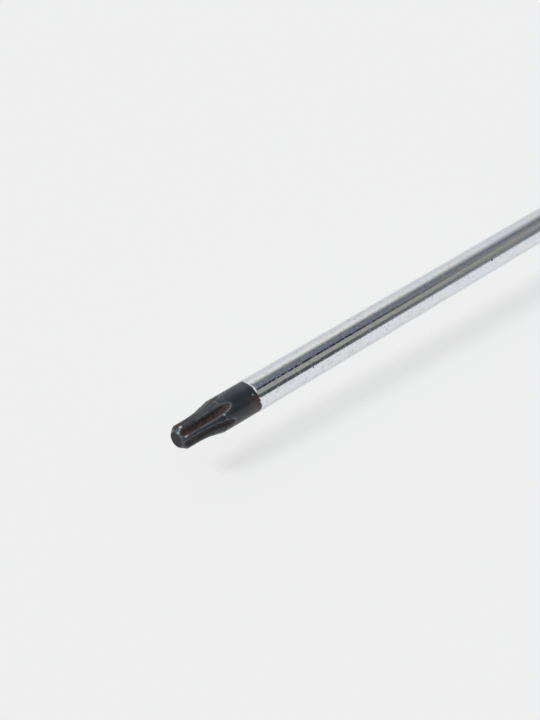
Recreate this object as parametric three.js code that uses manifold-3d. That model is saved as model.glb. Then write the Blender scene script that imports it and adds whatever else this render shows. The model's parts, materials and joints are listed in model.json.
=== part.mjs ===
// Fixed-blade screwdriver with a six-lobe tip of size T25, lying on its three-shot moulded handle.
// Millimetres, +Z up. The blade is drawn along +X from the centre of its tip face, the handle from its nose.
import * as THREE from "three";
import { mergeVertices } from "three/addons/utils/BufferGeometryUtils.js";
import Module from "manifold-3d";

const wasm = await Module();
wasm.setup();

const degree = Math.PI / 180;
const { lerp, smoothstep } = THREE.MathUtils;

// Blade: one round bar, from the tip face to the end of the tang inside the handle
const shankDiameter = 6;
const bladeLength = 125;
const tangLength = 68;
const tangChamfer = 0.8;

// Six-lobe tip: lengths run from the tip face
const lobeCount = 6;
const starDiameter = 4.43;
const starWaist = 3.17;
const starRoll = 4.5 * degree;
const tipFaceDiameter = 2.76;
const tipChamferLength = 0.9;
const coneLength = 8.7;
const coneAngle = 12 * degree;
const coneFillet = 12;
const starFluteRadius = 0.92;
const starFluteLength = 10.7;
const starRunoutRadius = 12;
const lobeFlare = 0.12;

// Wings pressed out of the tang, two pairs at right angles
const wingSpan = 9.2;
const wingThickness = 2.8;
const wingLength = 10;
const wingTaper = 2.5;
const wingInset = 44;
const wingPitch = 14;

// Handle: lengths run from the nose face
const handleLength = 112;
const noseDiameter = 12.8;
const noseFillet = 0.9;
const noseNeck = 9;
const flangeInset = 15.5;
const flangeWidth = 6.5;
const flangeAcrossFlats = 27.6;
const flangeCornerRadius = 3;
const flangeFillet = 0.9;
const collarDiameter = 24.4;
const waistInset = 33;
const waistDiameter = 21.2;
const bellyInset = 72;
const bellyDiameter = 33.2;
const rimDiameter = 29.2;

// Soft grip: a sleeve at the waist and one finger in each slot of the shell
const gripThickness = 3;
const sleeveEnd = 38;
const slotWidth = 10;
const slotRimWidth = 7;
const gripFluteDepth = 1.5;
const gripFluteRadius = 17.5;
const gripFluteFade = 14;

// Core moulded on the tang
const coreInset = 8;
const coreNeckDiameter = 10;
const coreNeckEnd = 34;
const coreRearDiameter = 20.6;
const coreShoulder = 62;
const coreLobeHeight = 0.2;

// End cap with its plug and hanging hole
const capLength = 16;
const capBarrel = 2;
const capPlugDiameter = 21.8;
const capPlugLength = 6;
const capPlugChamfer = 0.6;
const capSnapHeight = 0.4;
const capSnapWidth = 1.6;
const buttDiameter = 14;
const hangHoleDiameter = 7.5;
const hangHoleInset = 9;

// Gap between pieces that touch, and how far a cutter runs past what it cuts
const fit = 0.3;
const overrun = 1;

// Facets
const roundSegments = 36;
const arcSteps = 4;
const gripSteps = 5;
const fluteSteps = 12;

const shankRadius = shankDiameter / 2;
const starRadius = starDiameter / 2;
const coneStart = coneLength - (shankRadius - starRadius) / Math.tan(coneAngle);
const starEnd = coneStart - coneFillet * Math.tan(coneAngle / 2);
const flangeEnd = flangeInset + flangeWidth;
const shellEnd = handleLength - capLength;
const slotEnd = shellEnd - slotRimWidth;
const plugStart = shellEnd - capPlugLength;
const coreEnd = plugStart - fit;

// A closed geometry as a solid for joining and cutting
function toSolid(geometry) {
  const bare = geometry.clone();
  bare.deleteAttribute("normal");
  bare.deleteAttribute("uv");
  const merged = mergeVertices(bare);
  const corners = merged.getIndex().array;
  const triangles = [];
  for (let i = 0; i < corners.length; i += 3) {
    const [a, b, c] = corners.slice(i, i + 3);
    if (a !== b && b !== c && c !== a) triangles.push(a, b, c);
  }
  return new wasm.Manifold(new wasm.Mesh({
    numProp: 3,
    vertProperties: merged.getAttribute("position").array,
    triVerts: new Uint32Array(triangles),
  }));
}

function toGeometry(solid) {
  const { vertProperties, triVerts } = solid.getMesh();
  const geometry = new THREE.BufferGeometry();
  geometry.setAttribute("position", new THREE.BufferAttribute(vertProperties, 3));
  geometry.setIndex(new THREE.BufferAttribute(triVerts, 1));
  geometry.computeVertexNormals();
  return geometry;
}

// Revolves a path of (axial, radial) points about the X axis
function turned(path) {
  const profile = path.getPoints(arcSteps).map(({ x, y }) => new THREE.Vector2(y, x));
  return toSolid(new THREE.LatheGeometry(profile, roundSegments).rotateZ(-Math.PI / 2));
}

function rod(from, to, radius) {
  const path = new THREE.Path();
  path.moveTo(from, 0).lineTo(from, radius).lineTo(to, radius).lineTo(to, 0);
  return turned(path);
}

// Six copies of a geometry about the X axis, the first turned by the given angle from +Z
function aroundAxis(geometry, firstAngle) {
  const copies = Array.from({ length: lobeCount }, (_, i) =>
    toSolid(geometry.clone().rotateX(firstAngle + (i * 2 * Math.PI) / lobeCount)));
  return wasm.Manifold.union(copies);
}

// Tip, cone and shank before the flutes are cut
function bladeBar() {
  const end = bladeLength + tangLength;
  const path = new THREE.Path();
  path.moveTo(0, 0).lineTo(0, tipFaceDiameter / 2).lineTo(tipChamferLength, starRadius);
  path.absarc(starEnd, starRadius + coneFillet, coneFillet, -Math.PI / 2, coneAngle - Math.PI / 2, false);
  path.lineTo(coneLength, shankRadius).lineTo(end - tangChamfer, shankRadius);
  path.lineTo(end, shankRadius - tangChamfer).lineTo(end, 0);
  return turned(path);
}

// Centre of the ball cutter: level along the star, then rising out of the shank on an arc
class StarFlutePath extends THREE.Curve {
  getPoint(t, target = new THREE.Vector3()) {
    const floor = starWaist / 2;
    const runoutAngle = (height) => Math.acos(1 - (height - floor) / starRunoutRadius);
    const straight = starFluteLength - starRunoutRadius * Math.sin(runoutAngle(shankRadius));
    const arcRadius = starRunoutRadius - starFluteRadius;
    const arcLength = arcRadius * runoutAngle(shankRadius + overrun / 2);
    const along = lerp(-overrun, straight + arcLength, t);
    const angle = Math.max(0, along - straight) / arcRadius;
    const x = Math.min(along, straight) + arcRadius * Math.sin(angle);
    return target.set(x, 0, floor + starFluteRadius + arcRadius * (1 - Math.cos(angle)));
  }
}

// Rounded lobes that meet the flutes at a tangent; behind the star they flare until they clear the bar
function lobedForm() {
  const pitch = (2 * Math.PI) / lobeCount;
  const fluteCentre = starWaist / 2 + starFluteRadius;
  const inline = fluteCentre * Math.cos(pitch / 2);
  const lobeRadius = (starRadius ** 2 + fluteCentre ** 2 - 2 * starRadius * inline - starFluteRadius ** 2)
    / (2 * (starRadius - inline + starFluteRadius));
  const lobeCentre = starRadius - lobeRadius;
  const spread = Math.atan2(fluteCentre * Math.sin(pitch / 2), inline - lobeCentre);
  const outline = new THREE.Shape();
  for (let i = 0; i < lobeCount; i++) {
    const angle = i * pitch;
    const x = lobeCentre * Math.cos(angle);
    const y = lobeCentre * Math.sin(angle);
    outline.absarc(x, y, lobeRadius, angle - spread, angle + spread, false);
  }
  const clear = starEnd + (shankDiameter / starWaist - 1) / lobeFlare + overrun;
  const form = new THREE.ExtrudeGeometry(outline, { depth: 1, steps: 2, bevelEnabled: false, curveSegments: 3 });
  const stations = [-overrun, starEnd, clear];
  const position = form.getAttribute("position");
  for (let i = 0; i < position.count; i++) {
    const station = stations[Math.round(2 * position.getZ(i))];
    const scale = 1 + lobeFlare * Math.max(0, station - starEnd);
    position.setXYZ(i, scale * position.getX(i), scale * position.getY(i), station);
  }
  const behind = rod(clear - overrun, bladeLength + tangLength + overrun, shankDiameter);
  return toSolid(form.rotateY(Math.PI / 2).rotateX(starRoll)).add(behind);
}

// Outer radius of the grip, soft and hard parts alike
function gripRadius(u) {
  const waist = waistDiameter / 2;
  const belly = bellyDiameter / 2;
  if (u < waistInset) {
    const toWaist = (waistInset - u) / (waistInset - flangeEnd);
    return waist + (collarDiameter / 2 - waist) * toWaist ** 2;
  }
  if (u < bellyInset) return lerp(waist, belly, smoothstep(u, waistInset, bellyInset));
  const toRim = (u - bellyInset) / (shellEnd - bellyInset);
  return belly - (belly - rimDiameter / 2) * toRim ** 2;
}

// Centre of the round cutter that hollows each soft finger, fading out towards the rim
class GripFlutePath extends THREE.Curve {
  getPoint(t, target = new THREE.Vector3()) {
    const u = lerp(flangeEnd - overrun, slotEnd, t);
    const depth = gripFluteDepth * (1 - smoothstep(u, slotEnd - gripFluteFade, slotEnd));
    return target.set(u, 0, gripRadius(u) + gripFluteRadius - depth);
  }
}

function sweptCircle(curve, radius, steps) {
  const circle = new THREE.Shape().absarc(0, 0, radius, 0, 2 * Math.PI, false);
  return new THREE.ExtrudeGeometry(circle, { steps, curveSegments: 12, extrudePath: curve });
}

// One pair of wings centred on its station, grown by a clearance where it shapes a cavity
function wingPair(station, roll, clearance) {
  const halfLength = wingLength / 2 + clearance;
  const halfSpan = wingSpan / 2 + clearance;
  const thickness = wingThickness + 2 * clearance;
  const outline = new THREE.Shape();
  outline.moveTo(-halfLength, 0).lineTo(wingTaper - halfLength, -halfSpan);
  outline.lineTo(halfLength - wingTaper, -halfSpan).lineTo(halfLength, 0);
  outline.lineTo(halfLength - wingTaper, halfSpan).lineTo(wingTaper - halfLength, halfSpan);
  const plate = new THREE.ExtrudeGeometry(outline, { depth: thickness, bevelEnabled: false });
  return toSolid(plate.translate(0, 0, -thickness / 2).rotateX(roll).translate(station, 0, 0));
}

function wings(noseStation, clearance) {
  const first = wingPair(noseStation + wingInset, 0, clearance);
  return first.add(wingPair(noseStation + wingInset + wingPitch, Math.PI / 2, clearance));
}

function makeBlade() {
  const flute = sweptCircle(new StarFlutePath(), starFluteRadius, fluteSteps);
  const star = bladeBar().intersect(lobedForm());
  return star.subtract(aroundAxis(flute, Math.PI / lobeCount + starRoll)).add(wings(bladeLength, 0));
}

// Lobed spindle of the core, grown by a clearance where it shapes the cavity of the shell
function coreForm(from, to, clearance) {
  const geometry = new THREE.BufferGeometry();
  const stations = [from, coreNeckEnd];
  for (let i = 1; i <= gripSteps; i++) stations.push(lerp(coreNeckEnd, coreShoulder, i / gripSteps));
  stations.push(to);
  const vertices = [from, 0, 0];
  const triangles = [];
  stations.forEach((x, ring) => {
    const growth = smoothstep(x, coreNeckEnd, coreShoulder);
    const round = lerp(coreNeckDiameter, coreRearDiameter, growth) / 2 + clearance;
    for (let i = 0; i < roundSegments; i++) {
      const angle = (i * 2 * Math.PI) / roundSegments;
      const radius = round + coreLobeHeight * (Math.cos(lobeCount * angle) - 1);
      vertices.push(x, radius * Math.cos(angle), radius * Math.sin(angle));
      const a = 1 + ring * roundSegments + i;
      const b = 1 + ring * roundSegments + ((i + 1) % roundSegments);
      const last = stations.length - 1;
      if (ring === 0) triangles.push(0, b, a);
      if (ring < last) triangles.push(a, b, a + roundSegments, b, b + roundSegments, a + roundSegments);
      if (ring === last) triangles.push(1 + stations.length * roundSegments, a, b);
    }
  });
  vertices.push(to, 0, 0);
  geometry.setAttribute("position", new THREE.Float32BufferAttribute(vertices, 3));
  geometry.setIndex(triangles);
  return toSolid(geometry);
}

function makeInnerCore() {
  const tang = rod(coreInset - overrun, tangLength + fit, shankRadius + fit).add(wings(0, fit));
  return coreForm(coreInset, coreEnd, 0).subtract(tang);
}

function addGripLine(path, from, to, inset) {
  for (let i = 0; i <= gripSteps; i++) {
    const u = lerp(from, to, i / gripSteps);
    path.lineTo(u, gripRadius(u) - inset);
  }
}

// Body of revolution under the grip surface, inset from it all over
function gripForm(from, to, inset) {
  const path = new THREE.Path().moveTo(from, 0);
  addGripLine(path, from, waistInset, inset);
  addGripLine(path, waistInset, bellyInset, inset);
  addGripLine(path, bellyInset, to, inset);
  return turned(path.lineTo(to, 0));
}

// Six slots with a round rear end, drawn in by a clearance where they shape the fingers
function slots(from, clearance) {
  const halfWidth = slotWidth / 2 - clearance;
  const outline = new THREE.Shape().moveTo(from, halfWidth).lineTo(from, -halfWidth);
  outline.absarc(slotEnd - slotWidth / 2, 0, halfWidth, -Math.PI / 2, Math.PI / 2, false);
  const block = new THREE.ExtrudeGeometry(outline, { depth: bellyDiameter, bevelEnabled: false, curveSegments: 6 });
  return aroundAxis(block, 0);
}

// Hexagonal prism with rounded corners and its flats up and down
function flangeHexagon() {
  const cornerCentre = (flangeAcrossFlats / 2 - flangeCornerRadius) / Math.cos(30 * degree);
  const outline = new THREE.Shape();
  for (let i = 0; i < 6; i++) {
    const angle = i * 60 * degree;
    const x = cornerCentre * Math.cos(angle);
    const y = cornerCentre * Math.sin(angle);
    outline.absarc(x, y, flangeCornerRadius, angle - 30 * degree, angle + 30 * degree, false);
  }
  const depth = flangeEnd + 2 * overrun;
  const prism = new THREE.ExtrudeGeometry(outline, { depth, bevelEnabled: false, curveSegments: 3 });
  return toSolid(prism.rotateZ(Math.PI / 2).rotateY(Math.PI / 2).translate(-overrun, 0, 0));
}

function makeHandleShell() {
  const noseRadius = noseDiameter / 2;
  const flangeRadius = (flangeAcrossFlats / 2 - flangeCornerRadius) / Math.cos(30 * degree) + flangeCornerRadius;
  const path = new THREE.Path().moveTo(0, 0).lineTo(0, noseRadius - noseFillet);
  path.absarc(noseFillet, noseRadius - noseFillet, noseFillet, Math.PI, Math.PI / 2, true);
  path.quadraticCurveTo(noseNeck, noseRadius, flangeInset - flangeFillet, flangeRadius - flangeFillet);
  path.quadraticCurveTo(flangeInset, flangeRadius, flangeInset + flangeFillet, flangeRadius);
  path.absarc(flangeEnd - flangeFillet, flangeRadius - flangeFillet, flangeFillet, Math.PI / 2, 0, true);
  addGripLine(path, flangeEnd, sleeveEnd, gripThickness);
  addGripLine(path, sleeveEnd, bellyInset, 0);
  addGripLine(path, bellyInset, shellEnd, 0);
  path.lineTo(shellEnd, 0);

  const flangeTrim = rod(-overrun, flangeEnd + overrun, flangeAcrossFlats).subtract(flangeHexagon());
  const slotCut = slots(sleeveEnd - overrun, 0).subtract(gripForm(flangeEnd, shellEnd, gripThickness));
  const bore = rod(-overrun, coreInset, shankRadius + fit)
    .add(coreForm(coreInset - fit, plugStart, fit))
    .add(capPlug(fit));
  return turned(path).subtract(flangeTrim).subtract(slotCut).subtract(bore);
}

function makeSoftGrip() {
  const start = flangeEnd + fit;
  const form = gripForm(start, shellEnd, 0);
  const sleeve = rod(start, sleeveEnd - fit, bellyDiameter);
  const inside = gripForm(flangeEnd, shellEnd, gripThickness - fit);
  const flute = sweptCircle(new GripFlutePath(), gripFluteRadius, fluteSteps);
  return form.intersect(sleeve.add(slots(start, fit))).subtract(inside).subtract(aroundAxis(flute, 0));
}

// Plug with a snap bead, grown by a clearance where it shapes the rear bore of the shell
function capPlug(clearance) {
  const radius = capPlugDiameter / 2 + clearance;
  const start = plugStart - clearance;
  const bead = plugStart + capPlugLength / 2;
  const path = new THREE.Path().moveTo(start, 0).lineTo(start, radius - capPlugChamfer);
  path.lineTo(start + capPlugChamfer, radius).lineTo(bead - capSnapWidth / 2, radius);
  path.lineTo(bead, radius + capSnapHeight).lineTo(bead + capSnapWidth / 2, radius);
  return turned(path.lineTo(shellEnd + overrun, radius).lineTo(shellEnd + overrun, 0));
}

function makeEndCap() {
  const front = shellEnd + fit;
  const buttRadius = buttDiameter / 2;
  const dome = shellEnd + capBarrel;
  const path = new THREE.Path().moveTo(front, 0).lineTo(front, rimDiameter / 2);
  path.absellipse(dome, buttRadius, handleLength - dome, rimDiameter / 2 - buttRadius, Math.PI / 2, 0, true);
  path.lineTo(handleLength, 0);
  const hole = new THREE.CylinderGeometry(hangHoleDiameter / 2, hangHoleDiameter / 2, 2 * rimDiameter, 24);
  return turned(path).add(capPlug(0)).subtract(toSolid(hole.translate(handleLength - hangHoleInset, 0, 0)));
}

// Slope of the ground under the handle: from the lower flat of the flange to what lies lowest behind it
function lieAngle(meshes) {
  let steepest = 0;
  for (const mesh of meshes) {
    const position = mesh.geometry.getAttribute("position");
    for (let i = 0; i < position.count; i++) {
      const behind = position.getX(i) - flangeInset;
      const drop = -position.getZ(i) - flangeAcrossFlats / 2;
      if (behind > flangeWidth) steepest = Math.max(steepest, Math.atan2(drop, behind));
    }
  }
  return steepest;
}

function namedMesh(name, solid, look) {
  const mesh = new THREE.Mesh(toGeometry(solid), new THREE.MeshStandardMaterial(look));
  mesh.name = name;
  return mesh;
}

const handle = new THREE.Group();
handle.position.x = bladeLength;
handle.add(
  namedMesh("inner_core", makeInnerCore(), { color: 0x4a4c50, roughness: 0.5, metalness: 0 }),
  namedMesh("handle_shell", makeHandleShell(), { color: 0x3c4046, roughness: 0.35, metalness: 0 }),
  namedMesh("soft_grip", makeSoftGrip(), { color: 0x17181a, roughness: 0.75, metalness: 0 }),
  namedMesh("end_cap", makeEndCap(), { color: 0x3c4046, roughness: 0.35, metalness: 0 }),
);

const tool = new THREE.Group();
tool.add(namedMesh("blade", makeBlade(), { color: 0xc9ccd0, roughness: 0.12, metalness: 1 }), handle);
tool.rotation.y = -lieAngle(handle.children);

// The origin is the centre of the bottom of the tool's box
const box = new THREE.Box3().setFromObject(tool, true);
const centre = box.getCenter(new THREE.Vector3());
tool.position.set(-centre.x, -centre.y, -box.min.z);

const screwdriver = new THREE.Group();
screwdriver.add(tool);

export default screwdriver;
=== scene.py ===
"""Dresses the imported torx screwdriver: a black-tipped chrome blade in a moulded handle."""
import json
import math

import bmesh
import bpy
import numpy as np
from mathutils import Euler, Matrix, Vector


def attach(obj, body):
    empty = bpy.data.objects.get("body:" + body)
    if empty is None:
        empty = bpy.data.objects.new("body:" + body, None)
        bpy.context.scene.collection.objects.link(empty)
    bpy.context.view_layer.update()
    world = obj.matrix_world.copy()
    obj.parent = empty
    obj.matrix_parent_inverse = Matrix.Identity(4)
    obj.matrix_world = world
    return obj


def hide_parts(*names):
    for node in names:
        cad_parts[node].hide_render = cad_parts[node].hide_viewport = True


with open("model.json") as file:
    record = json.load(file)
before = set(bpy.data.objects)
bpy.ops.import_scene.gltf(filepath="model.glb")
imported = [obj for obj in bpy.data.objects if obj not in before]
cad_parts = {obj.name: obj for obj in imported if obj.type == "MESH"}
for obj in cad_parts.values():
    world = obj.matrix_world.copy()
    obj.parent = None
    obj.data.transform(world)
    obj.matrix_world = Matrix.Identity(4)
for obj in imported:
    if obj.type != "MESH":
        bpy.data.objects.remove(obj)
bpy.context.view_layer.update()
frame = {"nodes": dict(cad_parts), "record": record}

MM = 0.001

# Blade, in millimetres from the tip face
SHANK_RADIUS = 3.0
BLADE_LENGTH = 125.0
TANG_LENGTH = 68.0
TANG_CHAMFER = 0.8
BLACK_RADIUS = 2.95
BLACK_LENGTH = 16.08
BLACK_SLANT = 0.3
PLATING_STEP = 0.14
PLATING_ROUND = 0.75
WING_SPAN, WING_THICKNESS, WING_LENGTH, WING_TAPER = 9.2, 2.8, 10.0, 2.5
WING_STATIONS = (169.0, 183.0)

# Six-lobe tip
LOBES = 6
SECTOR = 2 * math.pi / LOBES
STAR_ROLL = math.radians(4.5)
STAR_RADIUS = 2.215
STAR_WAIST_RADIUS = 1.585
TIP_FACE_RADIUS = 1.38
TIP_CHAMFER = 0.9
CHAMFER_BLEND = 0.3
CONE_LENGTH = 8.7
CONE_ANGLE = math.radians(12)
CONE_FILLET = 12.0
STAR_FLUTE_RADIUS = 0.92
STAR_FLUTE_LENGTH = 10.7
STAR_RUNOUT_RADIUS = 12.0
LOBE_RADIUS = 0.375
LOBE_FLARE = 0.12
LOBE_BLEND = 0.05
EDGE_ROUND = 0.07
FACE_EDGE_FALL, FACE_EDGE_LENGTH = 0.06, 0.04
FACE_RINGS = (0.05, 0.3, 0.6, 0.85, 0.97)
STAR_END = CONE_LENGTH - (SHANK_RADIUS - STAR_RADIUS) / math.tan(CONE_ANGLE)
STAR_END -= CONE_FILLET * math.tan(CONE_ANGLE / 2)

# Wear of the tip: bare lines along its edges, and rust where the flutes are deep
WEAR_WIDTH = 0.14
STAR_WEAR, WEAR_RISE = 0.45, 1.5
FACE_WEAR_STATION, FACE_WEAR_WIDTH = 0.1, 0.15
RUST_DEPTH = 0.25
RUST_START, RUST_FADE = 0.25, 0.2

# Bright spots and marks of use: where each lies in tool space, and its size, in millimetres. The first
# four bright spots are painted highlights on the lobes' shoulders and on a flute's edge; the fifth is a
# bare nick.
PAINTED_GLINTS_AND_NICK = (
    ((1.0, -0.14, 2.21), 0.4), ((1.0, -1.62, 1.17), 0.3), ((0.75, -1.62, 1.17), 0.25),
    ((8.47, -2.40, 1.75), 0.3), ((15.12, -2.10, 2.08), 0.2),
)
CHROME_PITS = (((76.17, -2.73, 1.25), 0.35), ((28.45, -2.81, 1.05), 0.25), ((66.8, -2.40, 1.80), 0.2))

# Handle, in millimetres from its nose face
NOSE_RADIUS = 6.4
NOSE_FILLET = 0.9
NOSE_NECK = 9.0
FLANGE_START, FLANGE_END = 15.5, 22.0
FLANGE_FLAT = 13.8
FLANGE_CORNER = 3.0
FLANGE_FILLET = 0.9
FLANGE_BLEND = 0.5
FLANGE_BACK_RADIUS = 12.0
COLLAR_RADIUS = 12.2
WAIST, WAIST_RADIUS = 33.0, 10.6
BELLY, BELLY_RADIUS = 72.0, 16.6
RIM, RIM_RADIUS, RIM_FACE = 96.0, 14.6, 1.5
SHELL_EDGE = 0.4
GRIP_THICKNESS = 3.0
GRIP_EDGE = 0.55
SLEEVE_END = 38.0
SLOT_HALF, SLOT_END = 5.0, 89.0
SLOT_STRAIGHT_END = SLOT_END - SLOT_HALF
GRIP_FLUTE_DEPTH, GRIP_FLUTE_RADIUS, GRIP_FLUTE_FADE, GRIP_FLUTE_BLEND = 1.5, 17.5, 14.0, 0.4
CORE_NECK_RADIUS, CORE_NECK_END = 5.0, 34.0
CORE_RADIUS, CORE_SHOULDER = 10.3, 62.0
CORE_INSET = 8.0
CAP_BARREL, CAP_CHAMFER = 2.0, 0.3
PLUG_RADIUS, PLUG_START, PLUG_CHAMFER = 10.9, 90.0, 0.6
BUTT, BUTT_RADIUS = 112.0, 7.0
HOLE_RADIUS, HOLE_INSET, HOLE_REACH = 3.75, 9.0, 20.0
CAP_VOXEL, CAP_SMOOTHING = 0.28, 6
FIT = 0.3
WELD_DISTANCE = 0.002

# Colours, as 8-bit display levels
SKIN_DARK, SKIN_LIGHT, STAIN = (34, 39, 46), (48, 52, 59), (66, 47, 45)
FLUTE_FLOOR, RUST, END_FACE = (20, 21, 23), (57, 36, 33), (34, 35, 37)
WORN_EDGE, GLINT_AND_NICK_GREY = (116, 118, 122), (160, 162, 164)
CHROME, TARNISH, CHROME_PIT = (229, 232, 236), (204, 203, 198), (100, 99, 97)
SHELL_TONES = (52, 55, 59), (60, 63, 67)
GRIP_TONES = (24, 24, 25), (31, 31, 32)
CORE_TONES = (70, 72, 74), (80, 82, 84)
RUBBED_LIFT = 34

# Photograph: where the tip face lies and how the camera stands to the blade
IMAGE_SIZE = (540, 720)
FOCAL_PIXELS = 1465.0
TIP_PIXEL = (176.1, 439.95)
TIP_DEPTH = 0.236
CAMERA_AZIMUTH = math.radians(-43.31)
CAMERA_ELEVATION = math.radians(33.56)
CAMERA_ROLL = math.radians(-0.7)

# Ground and light
PALE = (0.863, 0.863, 0.863, 1)
GROUND_HALF = 20.0
EVEN_SHARE = 0.73
STRIP_FADE = (0.575, 0.68)
LAMP_DIRECTION, LAMP_EDGE, LAMP_LEVELS = (-0.25, -0.3, 0.92), (0.78, 0.94), (240, 242, 244)
KEY_ENERGY, KEY_ANGLE, KEY_DIRECTION = 1.9, math.radians(16), (-0.98, 0.28, 1.0)


def tool_matrix():
    """Tool space: the origin is the middle of the tip face, and +X runs along the blade to the butt."""
    tip = next(m for m in frame["record"]["mounts"] if m["name"] == "tip_face")
    along = -Vector(tip["axis"]).normalized()
    across = Vector((0, 1, 0))
    up = along.cross(across)
    matrix = Matrix((along, across, up)).transposed().to_4x4()
    matrix.translation = tip["pos_m"]
    return matrix


TOOL = tool_matrix()


class Graph:
    """Adds shader nodes to a tree. An input that is a socket is linked, and any other value is set."""

    def __init__(self, tree):
        self.tree = tree
        tree.nodes.clear()

    def add(self, kind, inputs=None, **settings):
        node = self.tree.nodes.new("ShaderNode" + kind)
        for key, value in settings.items():
            setattr(node, key, value)
        for key, value in (inputs or {}).items():
            if isinstance(value, bpy.types.NodeSocket):
                self.tree.links.new(value, node.inputs[key])
            else:
                node.inputs[key].default_value = value
        return node

    def math(self, operation, *values):
        return self.add("Math", dict(enumerate(values)), operation=operation).outputs[0]

    def mix(self, factor, first, second):
        inputs = {"Factor": factor, 6: first, 7: second}
        return self.add("Mix", inputs, data_type="RGBA").outputs[2]

    def step(self, value, low, high, start=0.0, end=1.0):
        inputs = {"Value": value, "From Min": low, "From Max": high, "To Min": start, "To Max": end}
        return self.add("MapRange", inputs, interpolation_type="SMOOTHSTEP").outputs[0]

    def noise(self, vector, size, detail=2.0):
        """Noise with features of about the given size in metres."""
        inputs = {"Vector": vector, "Scale": 1 / size, "Detail": detail}
        return self.add("TexNoise", inputs).outputs[0]

    def ramp(self, value, stops):
        node = self.add("ValToRGB", {"Fac": value})
        elements = node.color_ramp.elements
        while len(elements) < len(stops):
            elements.new(1.0)
        for element, (position, colour) in zip(elements, stops):
            element.position = position
            element.color = colour
        return node.outputs[0]

    def attribute(self, name):
        return self.add("Attribute", attribute_name=name).outputs["Fac"]


def rgba(levels):
    """Linear colour of 8-bit display levels."""
    return (*(((v / 255 + 0.055) / 1.055) ** 2.4 for v in levels), 1.0)


def material_graph(name):
    material = bpy.data.materials.new(name)
    material.use_nodes = True
    return material, Graph(material.node_tree)


def finish_surface(graph, shader):
    graph.add("OutputMaterial", {"Surface": shader.outputs[0]})


# Helpers for shapes


def smooth_least(a, b, blend):
    """The lesser of two surfaces, with their shared edge rounded."""
    h = np.clip(0.5 + 0.5 * (b - a) / blend, 0, 1)
    return b + (a - b) * h - blend * h * (1 - h)


def smooth_rise(t):
    """Runs from nothing to one with level ends."""
    return t * t * (3 - 2 * t)


def edge_fall(distance, radius):
    """How far the surface falls at a distance from an edge that is rounded."""
    inside = np.clip(radius - distance, 0, radius)
    return radius - np.sqrt(radius**2 - inside**2)


def arc_points(centre, radius, start, end, steps):
    """Points on an arc in the plane of station and radius, angles in degrees."""
    turn = np.radians(np.linspace(start, end, steps))
    return np.stack([centre[0] + radius * np.cos(turn), centre[1] + radius * np.sin(turn)], axis=1)


def curve_points(first, control, last, steps):
    """Points on a quadratic curve."""
    t = np.linspace(0, 1, steps)[:, None]
    first, control, last = (np.asarray(p, float) for p in (first, control, last))
    return (1 - t) ** 2 * first + 2 * t * (1 - t) * control + t**2 * last


def ring_quads(rows, columns, closed=False):
    """Quads between neighbouring rings of points, and from the last to the first if the body is a ring."""
    quads = []
    for i in range(rows if closed else rows - 1):
        below = (i + 1) % rows
        for j in range(columns):
            beside = (j + 1) % columns
            corners = (i, j), (i, beside), (below, beside), (below, j)
            quads.append(tuple(row * columns + column for row, column in corners))
    return quads


def loft_faces(rows, columns):
    """Quads between rings of points, with a cap at each end."""
    caps = [tuple(reversed(range(columns))), tuple(range((rows - 1) * columns, rows * columns))]
    return ring_quads(rows, columns) + caps


def add_piece(name, vertices, faces, material, attributes=None):
    """A smooth mesh in tool space, given in millimetres, that rides on the root body."""
    mesh = bpy.data.meshes.new(name)
    mesh.from_pydata(np.asarray(vertices) * MM, [], faces)
    mesh.shade_smooth()
    for key, values in (attributes or {}).items():
        layer = mesh.attributes.new(key, "FLOAT", "POINT")
        layer.data.foreach_set("value", np.asarray(values, np.float32).ravel())
    mesh.materials.append(material)
    piece = bpy.data.objects.new(name, mesh)
    bpy.context.collection.objects.link(piece)
    piece.matrix_world = TOOL
    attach(piece, "root")
    return piece


def weld(mesh):
    """Joins points that meet, such as those at the end of a slot, so that every face has an area."""
    shape = bmesh.new()
    shape.from_mesh(mesh)
    bmesh.ops.remove_doubles(shape, verts=shape.verts, dist=WELD_DISTANCE * MM)
    shape.to_mesh(mesh)
    shape.free()


# Blade shape


def bar_radius(x):
    """Radius of the bar before the star is cut: chamfer, star, cone and shank."""
    chamfer = TIP_FACE_RADIUS + (STAR_RADIUS - TIP_FACE_RADIUS) * x / TIP_CHAMFER
    into = np.clip(x - STAR_END, 0, CONE_FILLET * math.sin(CONE_ANGLE))
    fillet = STAR_RADIUS + CONE_FILLET - np.sqrt(CONE_FILLET**2 - into**2)
    cone = SHANK_RADIUS + (x - CONE_LENGTH) * math.tan(CONE_ANGLE)
    flare = np.where(into < CONE_FILLET * math.sin(CONE_ANGLE), fillet, cone)
    black = np.full_like(x, BLACK_RADIUS)
    return smooth_least(smooth_least(chamfer, flare, CHAMFER_BLEND), black, EDGE_ROUND)


def lobe_radius(x, turn):
    """The rounded lobes, which flare clear of the bar behind the star."""
    aside = SECTOR / 2 - np.abs(turn)
    centre = STAR_RADIUS - LOBE_RADIUS
    reach = np.sqrt(np.maximum(LOBE_RADIUS**2 - (centre * np.sin(aside)) ** 2, 0))
    return (centre * np.cos(aside) + reach) * (1 + LOBE_FLARE * np.maximum(x - STAR_END, 0))


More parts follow.
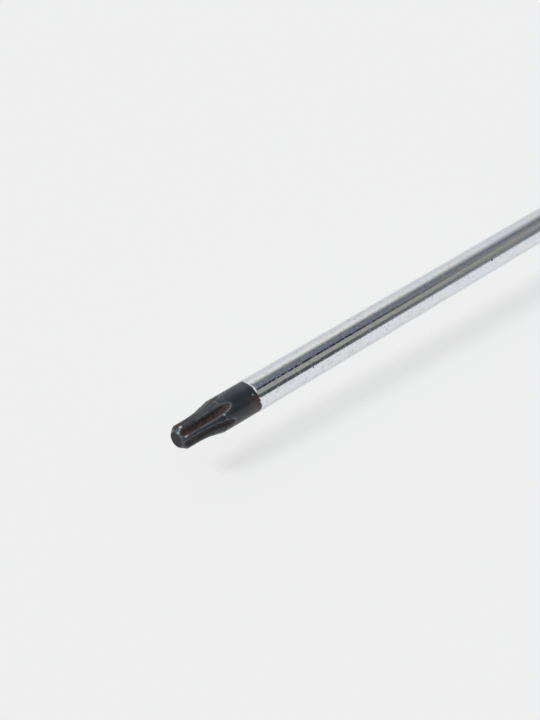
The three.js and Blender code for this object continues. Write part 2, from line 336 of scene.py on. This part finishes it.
def flute_radius(x, turn):
    """Where a ray from the axis, turned from the flute's middle, meets the swept cutter."""
    centre = STAR_WAIST_RADIUS + STAR_FLUTE_RADIUS
    rise = SHANK_RADIUS - STAR_WAIST_RADIUS
    runout = math.sqrt(STAR_RUNOUT_RADIUS**2 - (STAR_RUNOUT_RADIUS - rise) ** 2)
    along = np.maximum(x - (STAR_FLUTE_LENGTH - runout), 0)
    path_radius = STAR_RUNOUT_RADIUS - STAR_FLUTE_RADIUS

    def outside(radius):
        height = centre + path_radius - radius * np.cos(turn)
        from_path = np.hypot(along, height) - path_radius
        return np.hypot(radius * np.sin(turn), from_path) > STAR_FLUTE_RADIUS

    height = centre + path_radius - np.sqrt(np.maximum(path_radius**2 - along**2, 0))
    inner = np.zeros(np.broadcast(x, turn).shape)
    outer = height * np.cos(turn) + inner
    missed = outside(outer)
    for _ in range(30):
        middle = (inner + outer) / 2
        clear = outside(middle)
        inner = np.where(clear, middle, inner)
        outer = np.where(clear, outer, middle)
    clear_of_bar = 2 * SHANK_RADIUS
    return np.where(missed, clear_of_bar, outer)


def edge_distance(x, turn, bar, flute):
    """Distance over the surface from the line where the flutes leave the bar."""
    across = np.abs(bar * turn)
    inside = bar > flute
    rows = np.nonzero(inside.any(axis=1))[0]
    half = np.where(inside, across, 0).max(axis=1)[rows]
    spot = np.stack(np.broadcast_arrays(x, across), axis=-1)
    nearest = np.full(spot.shape[:2], np.inf)
    for point in np.stack([x[rows, 0], half], axis=1):
        nearest = np.minimum(nearest, np.hypot(*(spot - point).transpose(2, 0, 1)))
    return nearest


def wing_radius(x, angle):
    """The two pairs of wings pressed out of the tang, at right angles to each other."""
    radius = np.zeros(np.broadcast(x, angle).shape)
    for station, roll in zip(WING_STATIONS, (0, math.pi / 2)):
        taper = np.clip((WING_LENGTH / 2 - np.abs(x - station)) / WING_TAPER, 0, 1)
        along = np.abs(np.cos(angle - roll))
        across = np.abs(np.sin(angle - roll))
        plate = np.minimum(
            WING_SPAN / 2 * taper / np.maximum(along, 1e-6),
            WING_THICKNESS / 2 / np.maximum(across, 1e-6),
        )
        radius = np.maximum(radius, plate)
    return radius


def blade_stations():
    """Stations along the blade, close together where its shape changes."""
    flutes_end = STAR_FLUTE_LENGTH + 0.3
    first_wing, last_wing = WING_STATIONS
    end = BLADE_LENGTH + TANG_LENGTH
    return np.concatenate([
        np.linspace(0, 0.08, 5),
        np.linspace(0.12, flutes_end, 150),
        np.linspace(flutes_end + 0.3, BLACK_LENGTH - 0.6, 8),
        np.linspace(BLACK_LENGTH - 0.4, BLACK_LENGTH + 0.9, 27),
        np.linspace(BLACK_LENGTH + 2, first_wing - 6, 7),
        np.linspace(first_wing - 5, last_wing + 5, 33),
        [end - TANG_CHAMFER, end],
    ])


def worn_line(distance, width):
    """Bare metal along an edge: one on the line, fading over its width."""
    return np.exp(-((distance / width) ** 2))


def blade_sector(x, turn):
    """Radius, wear of the edges and depth of the flute over one sixth of the bar."""
    round_bar = bar_radius(x)
    flute = flute_radius(x, turn)
    radius = smooth_least(smooth_least(round_bar, lobe_radius(x, turn), LOBE_BLEND), flute, EDGE_ROUND)
    radius = radius - FACE_EDGE_FALL * np.exp(-x / FACE_EDGE_LENGTH)
    radius[-1] -= TANG_CHAMFER
    depth = round_bar - flute
    bareness = STAR_WEAR * (1 + np.clip((x - STAR_END) / WEAR_RISE, 0, 1))
    flute_edge = worn_line(edge_distance(x, turn, round_bar, flute), WEAR_WIDTH) * bareness
    cone_edge = worn_line(x - CONE_LENGTH, WEAR_WIDTH) * np.clip(-depth / RUST_DEPTH, 0, 1)
    face_edge = STAR_WEAR * worn_line(x - FACE_WEAR_STATION, FACE_WEAR_WIDTH)
    wear = np.maximum.reduce(np.broadcast_arrays(flute_edge, cone_edge, face_edge))
    hollow = np.clip(depth / RUST_DEPTH, 0, 1) * np.clip((x - RUST_START) / RUST_FADE, 0, 1)
    return radius, wear, hollow


def blade_piece(material):
    sector_points = 60
    stations = blade_stations()
    turn = (np.arange(sector_points) / sector_points - 0.5)[None, :] * SECTOR
    radius, wear, hollow = blade_sector(stations[:, None], turn)
    face = np.array(FACE_RINGS)[:, None] * radius[:1]
    unworn = np.zeros_like(face)
    stations = np.concatenate([np.zeros(len(face)), stations])[:, None]
    tables = (face, radius), (unworn, wear), (unworn, hollow)
    radius, wear, hollow = (np.tile(np.concatenate(rows), (1, LOBES)) for rows in tables)
    points = radius.shape[1]
    # The middle of the first sector is the flute half a lobe short of the lobe that points up
    angle = np.arange(points)[None, :] * 2 * math.pi / points - SECTOR / 2
    angle = angle + math.pi / 2 - SECTOR / 2 + STAR_ROLL
    lip = np.clip((stations + BLACK_SLANT * np.sin(angle) - BLACK_LENGTH) / PLATING_ROUND, 0, 1)
    radius = radius + PLATING_STEP * np.sqrt(1 - (1 - lip) ** 2)
    radius = np.maximum(radius, wing_radius(stations, angle))
    vertices = np.stack(np.broadcast_arrays(
        stations, radius * np.cos(angle), radius * np.sin(angle),
    ), axis=-1).reshape(-1, 3)
    faces = loft_faces(len(stations), points)
    piece = add_piece("blade_finished", vertices, faces, material, {"edge_wear": wear, "flute": hollow})
    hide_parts("blade")


# Blade material


def mark_and_glint_spot(g, place, point, size):
    """A small round spot, used for marks and for painted highlights: one at its middle and nothing past
    its size in millimetres.
    """
    spot = tuple(v * MM for v in point)
    away = g.add("VectorMath", {0: place, 1: spot}, operation="DISTANCE").outputs["Value"]
    return g.step(away, 0.4 * size * MM, size * MM, 1.0, 0.0)


def black_colour(g, place, along, up, flute, face, worn):
    """Blue-black skin, browned towards the plating, with rusty flutes and bare edges, and small pale spots
    that are painted highlights and one bare nick.
    """
    coarse = g.noise(place, 2.2 * MM, 4)
    near_plating = g.step(along, 12.8 * MM, 14.8 * MM)
    low = g.step(up, 2.4 * MM, 1.0 * MM)
    patches = g.step(coarse, 0.3, 0.55, 0.5, 1.0)
    stain = g.math("MULTIPLY", g.math("MULTIPLY", near_plating, low), patches)
    skin = g.mix(g.step(coarse, 0.35, 0.7), rgba(SKIN_DARK), rgba(SKIN_LIGHT))
    skin = g.mix(stain, skin, rgba(STAIN))
    rust = g.step(g.noise(place, 0.5 * MM, 4), 0.46, 0.58)
    colour = g.mix(flute, skin, g.mix(rust, rgba(FLUTE_FLOOR), rgba(RUST)))
    colour = g.mix(face, colour, rgba(END_FACE))
    colour = g.mix(worn, colour, rgba(WORN_EDGE))
    # Small pale spots: painted highlights on the lobes' shoulders and a flute edge, and one bare nick
    for point, size in PAINTED_GLINTS_AND_NICK:
        colour = g.mix(mark_and_glint_spot(g, place, point, size), colour, rgba(GLINT_AND_NICK_GREY))
    return colour


def chrome_pits(g, place):
    """Fine pits scattered over the plating, and a few larger ones."""
    cells = g.add("TexVoronoi", {"Vector": place, "Scale": 1 / (0.8 * MM)}).outputs
    chosen = g.add("SeparateXYZ", {0: cells["Color"]}).outputs[0]
    dots = g.step(cells["Distance"], 0.06, 0.16, 1.0, 0.0)
    pits = g.math("MULTIPLY", g.math("MULTIPLY", dots, g.step(chosen, 0.6, 0.64)), 0.35)
    for point, size in CHROME_PITS:
        pits = g.math("MAXIMUM", pits, mark_and_glint_spot(g, place, point, size))
    return pits


def chrome_colour(g, place, along, pits):
    """Bright plating with tarnish that lessens towards the handle."""
    patches = g.step(g.noise(place, 0.9 * MM, 5), 0.5, 0.7)
    tarnish = g.math("MULTIPLY", patches, g.step(along, 45 * MM, 75 * MM, 0.65, 0.25))
    plate = g.mix(tarnish, rgba(CHROME), rgba(TARNISH))
    return g.mix(pits, plate, rgba(CHROME_PIT))


def chrome_roughness(g, place):
    """Faint lines along the bar and small frosted patches."""
    streaks = g.add("Mapping", {"Vector": place, "Scale": (0.03, 1, 1)}).outputs[0]
    lines = g.step(g.noise(streaks, 0.07 * MM, 2), 0.35, 0.8, 0.0, 0.06)
    frost = g.step(g.noise(place, 0.32 * MM, 3), 0.55, 0.63, 0.03, 0.28)
    return g.math("ADD", lines, frost)


def blade_material():
    """Black-finished tip, with rust in the flutes and bare edges, running into bright chrome."""
    material, g = material_graph("blade_steel")
    place = g.add("TexCoord").outputs["Object"]
    parts = g.add("SeparateXYZ", {0: place}).outputs
    along, up = parts[0], parts[2]
    slanted = g.math("MULTIPLY_ADD", up, BLACK_SLANT / SHANK_RADIUS, along)
    ragged = g.math("MULTIPLY_ADD", g.noise(place, 0.8 * MM, 3), 0.55 * MM, -0.28 * MM)
    border = g.math("ADD", slanted, ragged)
    chrome = g.step(border, (BLACK_LENGTH - 0.05) * MM, (BLACK_LENGTH + 0.05) * MM)
    flute = g.attribute("flute")
    face = g.step(along, 0.14 * MM, 0.04 * MM)
    patchy = g.step(g.noise(place, 0.7 * MM, 3), 0.3, 0.6, 0.5, 1.0)
    worn = g.math("MULTIPLY", g.attribute("edge_wear"), patchy)
    pits = chrome_pits(g, place)

    black = black_colour(g, place, along, up, flute, face, worn)
    colour = g.mix(chrome, black, chrome_colour(g, place, along, pits))
    rough_black = g.math("MULTIPLY_ADD", worn, -0.1, g.math("MULTIPLY_ADD", flute, 0.28, 0.36))
    inputs = {"Factor": chrome, 2: rough_black, 3: chrome_roughness(g, place)}
    rough = g.add("Mix", inputs, data_type="FLOAT").outputs[0]
    metal = g.math("MAXIMUM", chrome, g.math("MULTIPLY", worn, 0.6))
    gloss = g.math("MULTIPLY_ADD", face, -0.38, 0.5)

    grain = g.math("MULTIPLY", g.noise(place, 0.14 * MM, 3), g.math("MULTIPLY_ADD", flute, 0.8, 0.2))
    dull = g.math("MULTIPLY", grain, g.math("SUBTRACT", 1.0, chrome))
    ripple = g.math("MULTIPLY", g.noise(place, 0.5 * MM, 2), 0.012)
    height = g.math("SUBTRACT", g.math("ADD", dull, ripple), g.math("MULTIPLY", pits, 0.1))
    bump = g.add("Bump", {"Height": height, "Strength": 0.5, "Distance": 0.06 * MM}).outputs[0]
    inputs = {"Base Color": colour, "Metallic": metal, "Roughness": rough, "Normal": bump}
    finish_surface(g, g.add("BsdfPrincipled", {**inputs, "Specular IOR Level": gloss}))
    return material


# Handle shape


def handle_points(u, angle, radius):
    """Tool-space points of the handle, the angle being turned from +Z towards -Y."""
    u, angle, radius = np.broadcast_arrays(u, angle, radius)
    return np.stack([BLADE_LENGTH + u, -radius * np.sin(angle), radius * np.cos(angle)], axis=-1)


def grip_radius(u):
    """Outside of the grip, from the collar through waist and belly to the rim."""
    to_waist = np.clip((WAIST - u) / (WAIST - FLANGE_END), 0, 1)
    rise = smooth_rise(np.clip((u - WAIST) / (BELLY - WAIST), 0, 1))
    to_rim = np.clip((u - BELLY) / (RIM - BELLY), 0, 1)
    radius = WAIST_RADIUS + (COLLAR_RADIUS - WAIST_RADIUS) * to_waist**2
    return radius + (BELLY_RADIUS - WAIST_RADIUS) * rise - (BELLY_RADIUS - RIM_RADIUS) * to_rim**2


def slot_floor(u):
    return grip_radius(u) - GRIP_THICKNESS


def slot_angle(u, drawn_in):
    """Half the angle that a slot, or a finger drawn in from its walls, takes up at a station."""
    into_end = np.clip(u - SLOT_STRAIGHT_END, 0, None)
    half = np.sqrt(np.clip((SLOT_HALF - drawn_in) ** 2 - into_end**2, 0, None))
    return np.arcsin(half / grip_radius(u))


def flange_limit(angle):
    """Radius of the hexagon with rounded corners and its flats up and down."""
    aside = np.abs((angle + SECTOR / 2) % SECTOR - SECTOR / 2)
    corner = (FLANGE_FLAT - FLANGE_CORNER) / math.cos(SECTOR / 2)
    beyond = SECTOR / 2 - aside
    reach = np.sqrt(np.maximum(FLANGE_CORNER**2 - (corner * np.sin(beyond)) ** 2, 0))
    flat_end = math.atan((FLANGE_FLAT - FLANGE_CORNER) * math.tan(SECTOR / 2) / FLANGE_FLAT)
    return np.where(aside < flat_end, FLANGE_FLAT / np.cos(aside), corner * np.cos(beyond) + reach)


def nose_profile():
    """Outline from the nose face to the back of the flange, through the flange's corners."""
    corner = (FLANGE_FLAT - FLANGE_CORNER) / math.cos(SECTOR / 2) + FLANGE_CORNER
    low = corner - FLANGE_FILLET
    front = FLANGE_START - FLANGE_FILLET
    along_flange = np.linspace(FLANGE_START + 1.4, FLANGE_END - 1.2, 8)
    return np.concatenate([
        arc_points((NOSE_FILLET, NOSE_RADIUS - NOSE_FILLET), NOSE_FILLET, 180, 90, 8),
        curve_points((NOSE_FILLET, NOSE_RADIUS), (NOSE_NECK, NOSE_RADIUS), (front, low), 26)[1:],
        curve_points((front, low), (FLANGE_START, corner), (FLANGE_START + FLANGE_FILLET, corner), 8)[1:],
        np.stack([along_flange, np.full(8, corner)], axis=1),
        arc_points((FLANGE_END - FLANGE_FILLET, low), FLANGE_FILLET, 90, 0, 8),
    ])


def split_columns(edge_offsets, land_steps, slot_steps):
    """Columns of one sector: two shares of angle, arc length, mark of the land, distance from its edge."""
    reach = edge_offsets[-1]
    far = 9.0
    columns = [(1 - t, t, t * reach, 1, far) for t in np.linspace(0, 1, land_steps, endpoint=False)]
    columns += [(0, 1, offset, 1, offset) for offset in reversed(edge_offsets)]
    columns += [(0, t, 0, 0, 0) for t in np.linspace(1, 0, slot_steps)]
    halves = np.array(columns, float).T
    mirrored = [np.concatenate([sign * c, c[-2::-1]]) for c, sign in zip(halves, (-1, -1, -1, 1, 1))]
    # The mirrored half ends on the next sector's first column, which is left out
    return [c[:-1] for c in mirrored]


def around(values, turned=False):
    """Repeats one sector's columns for the six sectors, turning angles along with them."""
    turns = np.arange(LOBES) * SECTOR if turned else np.zeros(LOBES)
    return np.concatenate([values + turn for turn in turns], axis=-1)


def shell_piece(material):
    offsets = (0.0, 0.08, 0.2, SHELL_EDGE)
    share, slot, length, land, away = split_columns(offsets, 7, 8)
    fall = edge_fall(away, SHELL_EDGE)
    rows = []

    def row(u, land_radius, slot_radius=None, limit=None):
        half_slot = slot_angle(min(u, SLOT_END), 0)
        angle = around(share * SECTOR / 2 + slot * half_slot + length / grip_radius(u), True)
        in_slot = land_radius if slot_radius is None else slot_radius
        radius = around(np.where(land > 0, land_radius, in_slot))
        if limit:
            radius = smooth_least(radius, flange_limit(angle), limit)
        rows.append(handle_points(u, angle, radius))

    # Outside, from the bore of the nose to the rim
    bore = SHANK_RADIUS + FIT
    for t in np.linspace(0, 1, 4):
        row(0, bore + (NOSE_RADIUS - NOSE_FILLET - bore) * t)
    for u, radius in nose_profile()[1:]:
        row(u, radius, limit=FLANGE_BLEND)
    for t in (0.3, 0.7, 1.0):
        row(FLANGE_END, FLANGE_BACK_RADIUS + (slot_floor(FLANGE_END) - FLANGE_BACK_RADIUS) * t)
    for u in np.linspace(FLANGE_END + 0.4, SLEEVE_END - 0.2, 14):
        row(u, slot_floor(u))
    row(SLEEVE_END, slot_floor(SLEEVE_END))
    for offset in offsets:
        u = SLEEVE_END + offset
        row(u, grip_radius(u) - edge_fall(offset, SHELL_EDGE) - fall, slot_floor(u))
    for u in np.linspace(SLEEVE_END + 0.8, SLOT_STRAIGHT_END, 44):
        row(u, grip_radius(u) - fall, slot_floor(u))
    for turn in np.linspace(0, math.pi / 2, 16)[1:]:
        u = SLOT_END - SLOT_HALF * (1 - math.sin(turn))
        row(u, grip_radius(u) - fall, slot_floor(u))
    for offset in offsets:
        u = SLOT_END + offset
        row(u, grip_radius(u) - edge_fall(np.hypot(offset, away), SHELL_EDGE))
    for u in np.linspace(SLOT_END + 0.8, RIM - 0.6, 10):
        row(u, grip_radius(u))
    for offset in reversed(offsets):
        row(RIM - offset, grip_radius(RIM - offset) - edge_fall(offset, SHELL_EDGE))

    # Inside, from the rim through the seats of the cap's plug and the core back to the bore
    plug_seat = PLUG_RADIUS + FIT
    row(RIM, plug_seat + RIM_FACE)
    row(RIM, plug_seat)
    row(PLUG_START - FIT, plug_seat)
    row(PLUG_START - FIT, CORE_RADIUS + FIT)
    for u in np.linspace(CORE_SHOULDER, CORE_NECK_END, 10):
        rise = smooth_rise((u - CORE_NECK_END) / (CORE_SHOULDER - CORE_NECK_END))
        row(u, CORE_NECK_RADIUS + (CORE_RADIUS - CORE_NECK_RADIUS) * rise + FIT)
    row(CORE_INSET - FIT, CORE_NECK_RADIUS + FIT)
    row(CORE_INSET - FIT, bore)
    faces = ring_quads(len(rows), len(rows[0]), closed=True)
    piece = add_piece("handle_shell_finished", np.concatenate(rows), faces, material)
    weld(piece.data)
    piece.data.set_sharp_from_angle(angle=math.radians(40))
    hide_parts("handle_shell")


def grip_outer(u, angle, edge, on_finger):
    """Outside of the soft grip: a shallow flute down each finger, and rounded edges all round."""
    start, end = FLANGE_END + FIT, SLEEVE_END - FIT
    grip = grip_radius(u)
    lateral = grip * np.clip(edge - np.abs(angle), 0, None)
    beside = np.where(u < end, np.hypot(lateral, end - u), lateral)
    into_end = np.clip(u - SLOT_STRAIGHT_END, 0, None)
    round_end = SLOT_HALF - FIT - np.hypot(into_end, grip * np.sin(angle))
    beside = np.where(u > SLOT_STRAIGHT_END, np.maximum(round_end, 0), beside)
    distance = np.where(on_finger, beside, np.abs(end - u))
    distance = np.minimum(distance, u - start)
    aside = np.minimum(angle, SECTOR - angle)
    fade = smooth_rise(np.clip((u - (SLOT_END - GRIP_FLUTE_FADE)) / GRIP_FLUTE_FADE, 0, 1))
    centre = grip + GRIP_FLUTE_RADIUS - GRIP_FLUTE_DEPTH * (1 - fade)
    across = np.sqrt(np.maximum(GRIP_FLUTE_RADIUS**2 - (centre * np.sin(aside)) ** 2, 0))
    hollow = centre * np.cos(aside) - across
    return smooth_least(grip, hollow, GRIP_FLUTE_BLEND) - edge_fall(distance, GRIP_EDGE)


def sheet_body(vertices, quads, below):
    """Closes a sheet: its quads, the same quads on the points below it, and walls along its open edges."""
    edges = {(q[n], q[(n + 1) % 4]) for q in quads for n in range(4)}
    walls = [(b, a, a + below, b + below) for a, b in edges if (b, a) not in edges]
    faces = quads + [tuple(v + below for v in reversed(q)) for q in quads] + sorted(walls)
    used = np.unique(np.array(faces))
    number = np.zeros(len(vertices), int)
    number[used] = np.arange(len(used))
    return vertices[used], [tuple(int(number[v]) for v in face) for face in faces]


def grip_piece(material):
    offsets = np.array([0.0, 0.06, 0.16, 0.32, GRIP_EDGE])
    start, end = FLANGE_END + FIT, SLEEVE_END - FIT
    half = SLOT_HALF - FIT
    middle = np.linspace(-half + 0.9, half - 0.9, 17)
    finger = np.concatenate([-half + offsets, middle, half - offsets[::-1]]) / half
    land = np.linspace(0, 1, 12)[1:-1]
    stations = np.concatenate([
        start + offsets, np.linspace(start + 1, end - 1, 22), end - offsets[::-1],
        np.linspace(end + 0.4, SLOT_STRAIGHT_END, 60),
        SLOT_STRAIGHT_END + half * np.sin(np.linspace(0, math.pi / 2, 16)[1:]),
    ])
    u = stations[:, None]
    edge = slot_angle(u, FIT)
    angle = np.concatenate([finger * edge, edge + land * (SECTOR - 2 * edge)], axis=1)
    on_finger = np.arange(angle.shape[1]) < len(finger)
    outer = grip_outer(u, angle, edge, on_finger)
    inner = slot_floor(u) + FIT
    angle = around(angle, True)
    rows, columns = angle.shape
    vertices = np.concatenate([
        handle_points(u, angle, around(outer)).reshape(-1, 3),
        handle_points(u, angle, inner).reshape(-1, 3),
    ])
    kept = np.tile(on_finger, LOBES)
    sleeve_rows = np.count_nonzero(stations <= end + 1e-6) - 1

    def covered(quad):
        i, j = divmod(quad[0], columns)
        return i < sleeve_rows or (kept[j] and kept[(j + 1) % columns])

    quads = [quad for quad in ring_quads(rows, columns) if covered(quad)]
    piece = add_piece("soft_grip_finished", *sheet_body(vertices, quads, rows * columns), material)
    weld(piece.data)
    piece.data.set_sharp_from_angle(angle=math.radians(50))
    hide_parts("soft_grip")


def cap_blank():
    """The cap before its hole is cut, turned about the tool's axis: plug, barrel and dome."""
    points = 144
    dome = RIM + CAP_BARREL
    front = RIM + FIT
    turn = np.linspace(math.pi / 2, 0, 40)
    skin = np.stack([
        dome + (BUTT - dome) * np.cos(turn), BUTT_RADIUS + (RIM_RADIUS - BUTT_RADIUS) * np.sin(turn),
    ], axis=1)
    profile = np.array([
        (PLUG_START, PLUG_RADIUS - PLUG_CHAMFER), (PLUG_START + PLUG_CHAMFER, PLUG_RADIUS),
        (front, PLUG_RADIUS), (front, RIM_RADIUS - CAP_CHAMFER), (front + CAP_CHAMFER, RIM_RADIUS), *skin,
    ])
    angle = np.arange(points) * 2 * math.pi / points
    vertices = handle_points(profile[:, :1], angle[None, :], profile[:, 1:]).reshape(-1, 3)
    mesh = bpy.data.meshes.new("cap_body")
    mesh.from_pydata(vertices * MM, [], loft_faces(len(profile), points))
    return bpy.data.objects.new("cap_body", mesh)


def cap_hole():
    """A bar across the cap that cuts the hanging hole."""
    points = 64
    turn = np.arange(points) * 2 * math.pi / points
    side = np.array([-HOLE_REACH, HOLE_REACH])[:, None]
    vertices = np.stack(np.broadcast_arrays(
        BLADE_LENGTH + BUTT - HOLE_INSET + HOLE_RADIUS * np.cos(turn), side, HOLE_RADIUS * np.sin(turn),
    ), axis=-1).reshape(-1, 3)
    mesh = bpy.data.meshes.new("cap_hole")
    mesh.from_pydata(vertices * MM, [], [tuple(reversed(f)) for f in loft_faces(2, points)])
    return bpy.data.objects.new("cap_hole", mesh)


def cap_piece(material):
    body, cutter = cap_blank(), cap_hole()
    for item in (body, cutter):
        bpy.context.collection.objects.link(item)
    cut = body.modifiers.new("hole", "BOOLEAN")
    cut.object = cutter
    cut.solver = "EXACT"
    fine = body.modifiers.new("fine", "REMESH")
    fine.mode = "VOXEL"
    fine.voxel_size = CAP_VOXEL * MM
    soften = body.modifiers.new("soften", "SMOOTH")
    soften.factor = 0.5
    soften.iterations = CAP_SMOOTHING
    shaped = bpy.data.meshes.new_from_object(body.evaluated_get(bpy.context.evaluated_depsgraph_get()))
    vertices = np.array([v.co for v in shaped.vertices]) / MM
    faces = [tuple(f.vertices) for f in shaped.polygons]
    for item in (body, cutter):
        bpy.data.objects.remove(item)
    piece = add_piece("end_cap_finished", vertices, faces, material)
    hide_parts("end_cap")


def moulded_material(name, tones, rough, grain, depth):
    """Moulded plastic or rubber: a fine grain, slow changes of tone and faint rubbed patches."""
    material, g = material_graph(name)
    dark, light = tones
    pale = tuple(min(v + RUBBED_LIFT, 255) for v in light)
    place = g.add("TexCoord").outputs["Object"]
    tone = g.noise(place, 14 * MM, 3)
    rubbed = g.step(g.noise(place, 5 * MM, 5), 0.52, 0.75)
    colour = g.mix(g.step(tone, 0.3, 0.7), rgba(dark), rgba(light))
    colour = g.mix(g.math("MULTIPLY", rubbed, 0.25), colour, rgba(pale))
    uneven = g.step(tone, 0.2, 0.8, rough - 0.03, rough + 0.04)
    roughness = g.math("MULTIPLY_ADD", rubbed, -0.08, uneven)
    cells = g.add("TexVoronoi", {"Vector": place, "Scale": 1 / (grain * MM)}).outputs["Distance"]
    height = g.math("MULTIPLY_ADD", g.noise(place, 0.6 * grain * MM, 2), 0.5, cells)
    bump = g.add("Bump", {"Height": height, "Strength": 0.35, "Distance": depth * MM}).outputs[0]
    inputs = {"Base Color": colour, "Roughness": roughness, "Normal": bump}
    finish_surface(g, g.add("BsdfPrincipled", inputs))
    return material


def dress_core(material):
    """The core is hidden in the handle and keeps its plain shape."""
    core = frame["nodes"]["inner_core"]
    core.data.materials.clear()
    core.data.materials.append(material)


# Camera, ground and light


def add_camera():
    camera = bpy.data.cameras.new("camera")
    camera.sensor_width = 36.0
    camera.lens = camera.sensor_width * FOCAL_PIXELS / max(IMAGE_SIZE)
    camera.clip_start = 0.01
    holder = bpy.data.objects.new("camera", camera)
    bpy.context.collection.objects.link(holder)
    level = Euler((math.pi / 2 - CAMERA_ELEVATION, 0, CAMERA_AZIMUTH)).to_matrix()
    turned = level @ Matrix.Rotation(CAMERA_ROLL, 3, "Z")
    right = (TIP_PIXEL[0] - IMAGE_SIZE[0] / 2) / FOCAL_PIXELS
    up = (IMAGE_SIZE[1] / 2 - TIP_PIXEL[1]) / FOCAL_PIXELS
    seen_tip = Vector((right, up, -1)) * TIP_DEPTH
    holder.matrix_world = Matrix.LocRotScale(TOOL.translation - turned @ seen_tip, turned, None)
    bpy.context.scene.camera = holder


def add_ground():
    """A pale ground that keeps a faint shadow in the camera's view and in reflections."""
    mesh = bpy.data.meshes.new("ground")
    corners = [(x * GROUND_HALF, y * GROUND_HALF, 0) for x, y in ((-1, -1), (1, -1), (1, 1), (-1, 1))]
    mesh.from_pydata(corners, [], [(0, 1, 2, 3)])
    ground = bpy.data.objects.new("ground", mesh)
    bpy.context.collection.objects.link(ground)
    material, g = material_graph("ground")
    lit = g.add("BsdfDiffuse", {"Color": PALE}).outputs[0]
    even = g.add("Emission", {"Color": PALE, "Strength": 1.0}).outputs[0]
    path = g.add("LightPath")
    direct = g.math("MAXIMUM", path.outputs["Is Camera Ray"], path.outputs["Is Glossy Ray"])
    share = g.math("MULTIPLY", direct, EVEN_SHARE)
    finish_surface(g, g.add("MixShader", {0: share, 1: lit, 2: even}))
    mesh.materials.append(material)


def studio_strips(g, turn, strips):
    """Strips along the blade: each has the angle above the horizon, in degrees, and its display levels."""
    return g.ramp(turn, [(angle / 180, rgba(levels)) for angle, levels in strips])


def add_world():
    """A studio that is bright behind the tool and dim on the camera's side, in strips along the blade."""
    world = bpy.data.worlds.new("studio")
    bpy.context.scene.world = world
    world.use_nodes = True
    g = Graph(world.node_tree)
    place = g.add("TexCoord").outputs["Generated"]
    direction = g.add("SeparateXYZ", {0: place}).outputs
    toward = g.math("MULTIPLY", direction[1], -1.0)
    turn = g.math("DIVIDE", g.math("ARCTAN2", direction[2], toward), math.pi)
    sweep, dim_wall, board, gap = (220, 225, 230), (82, 86, 88), (165, 167, 160), (36, 40, 46)
    ceiling, window, back_wall = (116, 122, 130), (240, 240, 236), (220, 222, 224)
    crisp = studio_strips(g, turn, [
        (3, sweep), (5, dim_wall), (24, dim_wall), (29, board), (51, board), (55, gap), (62, gap),
        (66, ceiling), (96, ceiling), (117, window), (127, window), (152, back_wall),
    ])
    far_skirting, far_wall, far_board = (140, 145, 150), (125, 127, 128), (160, 159, 152)
    far_ceiling, far_window = (110, 114, 118), (226, 225, 224)
    faded = studio_strips(g, turn, [
        (4, sweep), (10, far_skirting), (22, far_wall), (52, far_board),
        (86, far_ceiling), (124, far_window), (152, back_wall),
    ])
    # The strips fade into each other towards the handle, and a bright lamp hangs over the tip
    inputs = {"Value": direction[0], "From Min": STRIP_FADE[0], "From Max": STRIP_FADE[1]}
    studio = g.mix(g.add("MapRange", inputs).outputs[0], crisp, faded)
    inputs = {0: place, 1: LAMP_DIRECTION}
    toward_lamp = g.add("VectorMath", inputs, operation="DOT_PRODUCT").outputs["Value"]
    studio = g.mix(g.step(toward_lamp, *LAMP_EDGE), studio, rgba(LAMP_LEVELS))
    lighting = g.add("Background", {"Color": studio, "Strength": 1.0}).outputs[0]
    backdrop = g.add("Background", {"Color": PALE, "Strength": 1.0}).outputs[0]
    seen = g.add("LightPath").outputs["Is Camera Ray"]
    both = g.add("MixShader", {0: seen, 1: lighting, 2: backdrop}).outputs[0]
    g.add("OutputWorld", {"Surface": both})


def add_key_light():
    lamp = bpy.data.lights.new("key", "SUN")
    lamp.energy = KEY_ENERGY
    lamp.angle = KEY_ANGLE
    holder = bpy.data.objects.new("key", lamp)
    bpy.context.collection.objects.link(holder)
    holder.rotation_mode = "QUATERNION"
    holder.rotation_quaternion = Vector(KEY_DIRECTION).to_track_quat("Z", "Y")


bpy.context.scene.view_settings.view_transform = "Standard"
add_camera()
add_ground()
add_world()
add_key_light()
blade_piece(blade_material())
shell_plastic = moulded_material("shell_plastic", SHELL_TONES, rough=0.42, grain=0.35, depth=0.03)
shell_piece(shell_plastic)
cap_piece(shell_plastic)
grip_piece(moulded_material("grip_rubber", GRIP_TONES, rough=0.62, grain=0.5, depth=0.06))
dress_core(moulded_material("core_plastic", CORE_TONES, rough=0.45, grain=0.4, depth=0.03))
